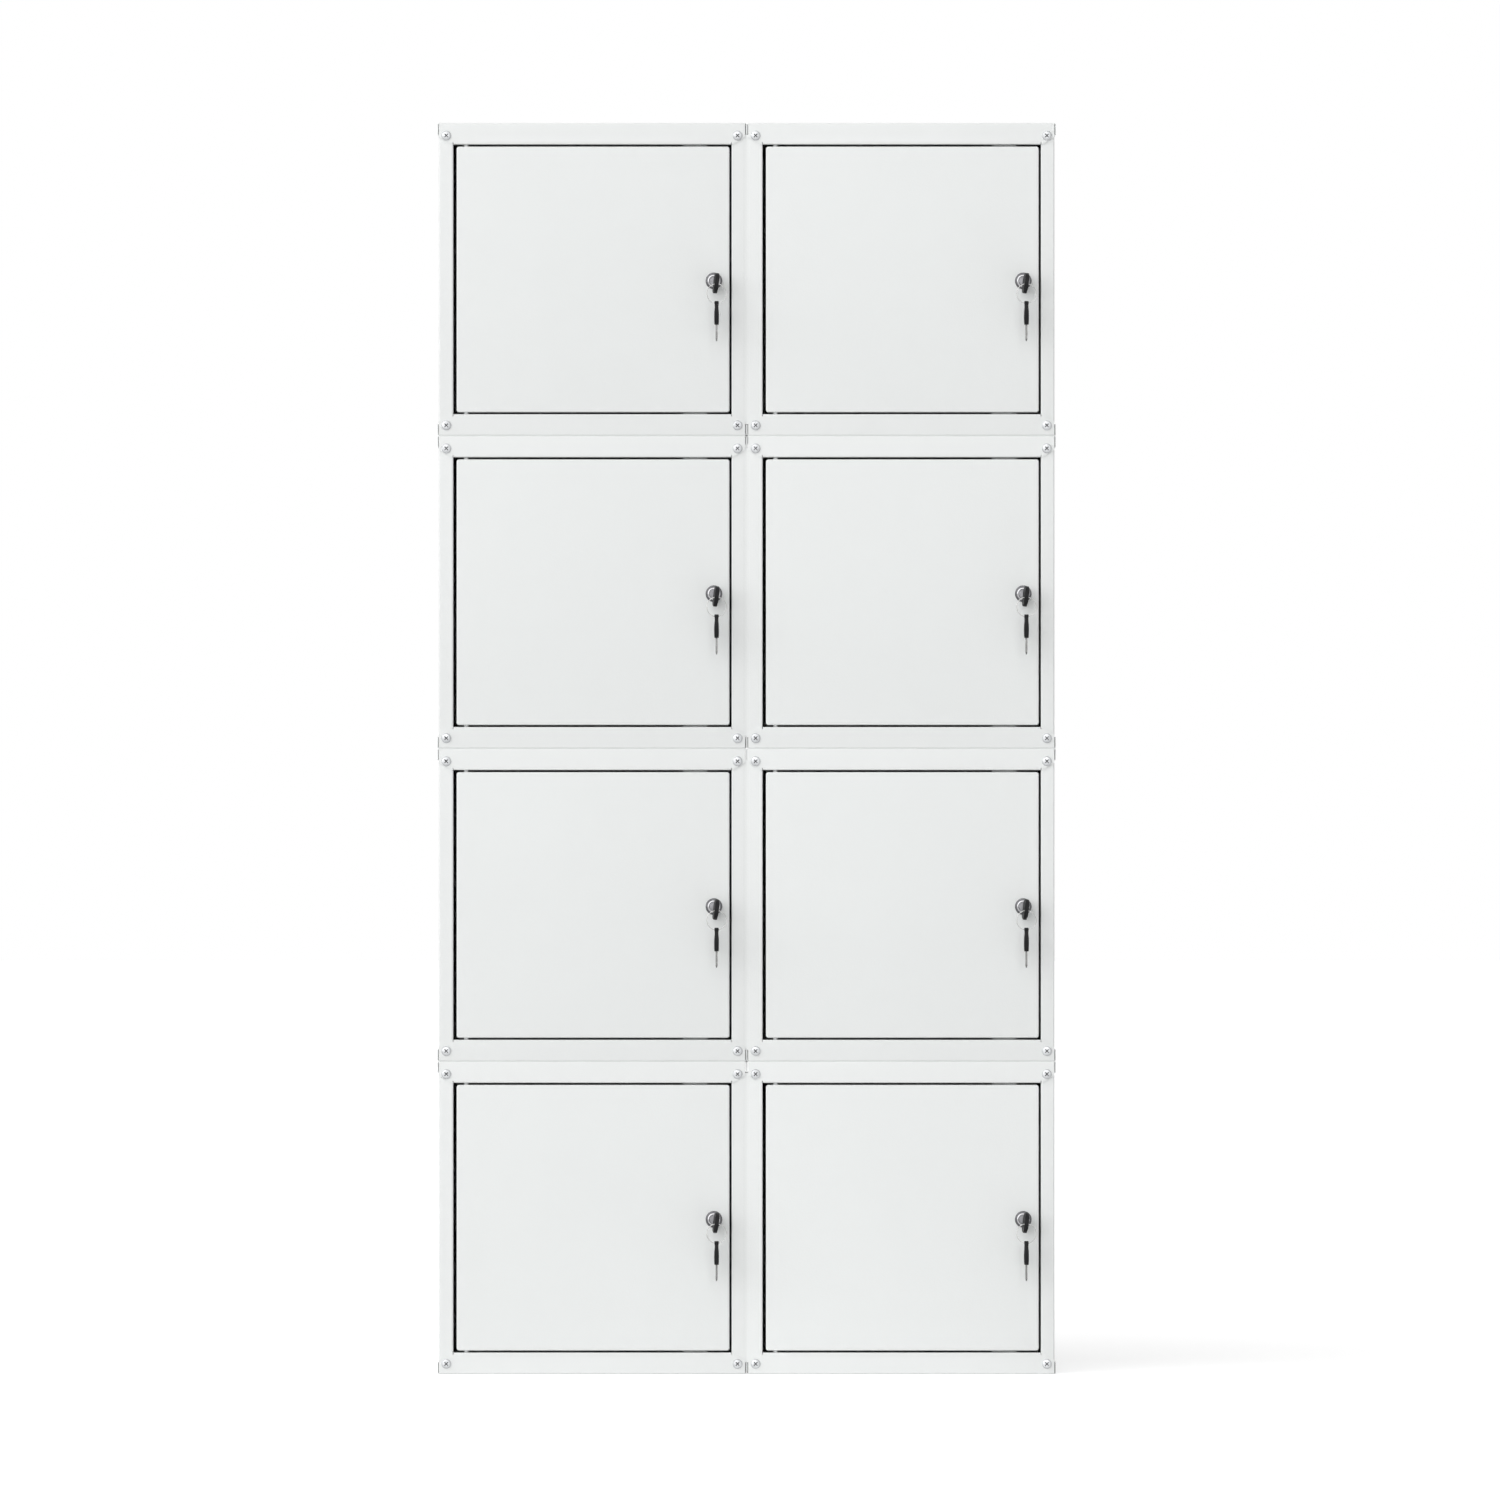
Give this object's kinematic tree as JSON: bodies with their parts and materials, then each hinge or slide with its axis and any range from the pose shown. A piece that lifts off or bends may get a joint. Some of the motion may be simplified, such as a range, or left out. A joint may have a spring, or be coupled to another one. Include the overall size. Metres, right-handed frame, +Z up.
{
  "type": "cube locker bank",
  "caption": "Bank of white steel cube lockers in two columns, each with a flush pivot-hung door, a cam lock and keys on a wire ring.",
  "frame": {"origin": "on the floor, at the centre of the bank's footprint with its keys", "axes": "+X to the right seen from the front, +Y from the doors to the back, +Z up"},
  "size_m": [0.7624, 0.4192, 1.5421],
  "materials": {
    "cabinet_paint": "white powder coat, satin, fine orange peel",
    "door_paint": "white powder coat, satin, fine orange peel",
    "lock_chrome": "bright nickel-chrome plate",
    "key_black": "moulded black nylon key heads, nickel-plated blades",
    "zinc": "bright zinc plate"
  },
  "bodies": {
    "root": {"case_wrap_1": "cabinet_paint", "top_panel_1": "cabinet_paint", "bottom_panel_1": "cabinet_paint", "case_wrap_2": "cabinet_paint", "top_panel_2": "cabinet_paint", "bottom_panel_2": "cabinet_paint", "case_wrap_3": "cabinet_paint", "top_panel_3": "cabinet_paint", "bottom_panel_3": "cabinet_paint", "case_wrap_4": "cabinet_paint", "top_panel_4": "cabinet_paint", "bottom_panel_4": "cabinet_paint", "case_wrap_5": "cabinet_paint", "top_panel_5": "cabinet_paint", "bottom_panel_5": "cabinet_paint", "case_wrap_6": "cabinet_paint", "top_panel_6": "cabinet_paint", "bottom_panel_6": "cabinet_paint", "case_wrap_7": "cabinet_paint", "top_panel_7": "cabinet_paint", "bottom_panel_7": "cabinet_paint", "case_wrap_8": "cabinet_paint", "top_panel_8": "cabinet_paint", "bottom_panel_8": "cabinet_paint", "joining_bolt_1": "zinc", "joining_bolt_2": "zinc", "joining_bolt_3": "zinc", "joining_bolt_4": "zinc"},
    "door_1": {"door_1": "door_paint", "lock_barrel_1": "lock_chrome"},
    "lock_1": {"keyed_plug_1": "key_black"},
    "spare_key_1": {"spare_key_1": "key_black"},
    "door_2": {"door_2": "door_paint", "lock_barrel_2": "lock_chrome"},
    "lock_2": {"keyed_plug_2": "key_black"},
    "spare_key_2": {"spare_key_2": "key_black"},
    "door_3": {"door_3": "door_paint", "lock_barrel_3": "lock_chrome"},
    "lock_3": {"keyed_plug_3": "key_black"},
    "spare_key_3": {"spare_key_3": "key_black"},
    "door_4": {"door_4": "door_paint", "lock_barrel_4": "lock_chrome"},
    "lock_4": {"keyed_plug_4": "key_black"},
    "spare_key_4": {"spare_key_4": "key_black"},
    "door_5": {"door_5": "door_paint", "lock_barrel_5": "lock_chrome"},
    "lock_5": {"keyed_plug_5": "key_black"},
    "spare_key_5": {"spare_key_5": "key_black"},
    "door_6": {"door_6": "door_paint", "lock_barrel_6": "lock_chrome"},
    "lock_6": {"keyed_plug_6": "key_black"},
    "spare_key_6": {"spare_key_6": "key_black"},
    "door_7": {"door_7": "door_paint", "lock_barrel_7": "lock_chrome"},
    "lock_7": {"keyed_plug_7": "key_black"},
    "spare_key_7": {"spare_key_7": "key_black"},
    "door_8": {"door_8": "door_paint", "lock_barrel_8": "lock_chrome"},
    "lock_8": {"keyed_plug_8": "key_black"},
    "spare_key_8": {"spare_key_8": "key_black"}
  },
  "joints": [
    {"name": "door_1_hinge", "type": "hinge", "parent": "root", "child": "door_1", "pos_m": [-0.34575, -0.16289, 1.34945], "axis": [0, 0, -1], "range_deg": [0, 110]},
    {"name": "lock_1_turn", "type": "hinge", "parent": "door_1", "child": "lock_1", "pos_m": [-0.04025, -0.17139, 1.3475], "axis": [0, 1, 0], "range_deg": [0, 90]},
    {"name": "spare_key_1_swing", "type": "hinge", "parent": "lock_1", "child": "spare_key_1", "pos_m": [-0.03691, -0.19696, 1.34287], "axis": [-1, 0, 0], "range_deg": [-15, 60]},
    {"name": "door_2_hinge", "type": "hinge", "parent": "root", "child": "door_2", "pos_m": [0.03555, -0.16289, 1.34945], "axis": [0, 0, -1], "range_deg": [0, 110]},
    {"name": "lock_2_turn", "type": "hinge", "parent": "door_2", "child": "lock_2", "pos_m": [0.34105, -0.17139, 1.3475], "axis": [0, 1, 0], "range_deg": [0, 90]},
    {"name": "spare_key_2_swing", "type": "hinge", "parent": "lock_2", "child": "spare_key_2", "pos_m": [0.34439, -0.19696, 1.34287], "axis": [-1, 0, 0], "range_deg": [-15, 60]},
    {"name": "door_3_hinge", "type": "hinge", "parent": "root", "child": "door_3", "pos_m": [-0.34575, -0.16289, 0.96385], "axis": [0, 0, -1], "range_deg": [0, 110]},
    {"name": "lock_3_turn", "type": "hinge", "parent": "door_3", "child": "lock_3", "pos_m": [-0.04025, -0.17139, 0.9619], "axis": [0, 1, 0], "range_deg": [0, 90]},
    {"name": "spare_key_3_swing", "type": "hinge", "parent": "lock_3", "child": "spare_key_3", "pos_m": [-0.03691, -0.19696, 0.95727], "axis": [-1, 0, 0], "range_deg": [-15, 60]},
    {"name": "door_4_hinge", "type": "hinge", "parent": "root", "child": "door_4", "pos_m": [0.03555, -0.16289, 0.96385], "axis": [0, 0, -1], "range_deg": [0, 110]},
    {"name": "lock_4_turn", "type": "hinge", "parent": "door_4", "child": "lock_4", "pos_m": [0.34105, -0.17139, 0.9619], "axis": [0, 1, 0], "range_deg": [0, 90]},
    {"name": "spare_key_4_swing", "type": "hinge", "parent": "lock_4", "child": "spare_key_4", "pos_m": [0.34439, -0.19696, 0.95727], "axis": [-1, 0, 0], "range_deg": [-15, 60]},
    {"name": "door_5_hinge", "type": "hinge", "parent": "root", "child": "door_5", "pos_m": [-0.34575, -0.16289, 0.57825], "axis": [0, 0, -1], "range_deg": [0, 110]},
    {"name": "lock_5_turn", "type": "hinge", "parent": "door_5", "child": "lock_5", "pos_m": [-0.04025, -0.17139, 0.5763], "axis": [0, 1, 0], "range_deg": [0, 90]},
    {"name": "spare_key_5_swing", "type": "hinge", "parent": "lock_5", "child": "spare_key_5", "pos_m": [-0.03691, -0.19696, 0.57167], "axis": [-1, 0, 0], "range_deg": [-15, 60]},
    {"name": "door_6_hinge", "type": "hinge", "parent": "root", "child": "door_6", "pos_m": [0.03555, -0.16289, 0.57825], "axis": [0, 0, -1], "range_deg": [0, 110]},
    {"name": "lock_6_turn", "type": "hinge", "parent": "door_6", "child": "lock_6", "pos_m": [0.34105, -0.17139, 0.5763], "axis": [0, 1, 0], "range_deg": [0, 90]},
    {"name": "spare_key_6_swing", "type": "hinge", "parent": "lock_6", "child": "spare_key_6", "pos_m": [0.34439, -0.19696, 0.57167], "axis": [-1, 0, 0], "range_deg": [-15, 60]},
    {"name": "door_7_hinge", "type": "hinge", "parent": "root", "child": "door_7", "pos_m": [-0.34575, -0.16289, 0.19265], "axis": [0, 0, -1], "range_deg": [0, 110]},
    {"name": "lock_7_turn", "type": "hinge", "parent": "door_7", "child": "lock_7", "pos_m": [-0.04025, -0.17139, 0.1907], "axis": [0, 1, 0], "range_deg": [0, 90]},
    {"name": "spare_key_7_swing", "type": "hinge", "parent": "lock_7", "child": "spare_key_7", "pos_m": [-0.03691, -0.19696, 0.18607], "axis": [-1, 0, 0], "range_deg": [-15, 60]},
    {"name": "door_8_hinge", "type": "hinge", "parent": "root", "child": "door_8", "pos_m": [0.03555, -0.16289, 0.19265], "axis": [0, 0, -1], "range_deg": [0, 110]},
    {"name": "lock_8_turn", "type": "hinge", "parent": "door_8", "child": "lock_8", "pos_m": [0.34105, -0.17139, 0.1907], "axis": [0, 1, 0], "range_deg": [0, 90]},
    {"name": "spare_key_8_swing", "type": "hinge", "parent": "lock_8", "child": "spare_key_8", "pos_m": [0.34439, -0.19696, 0.18607], "axis": [-1, 0, 0], "range_deg": [-15, 60]}
  ]
}
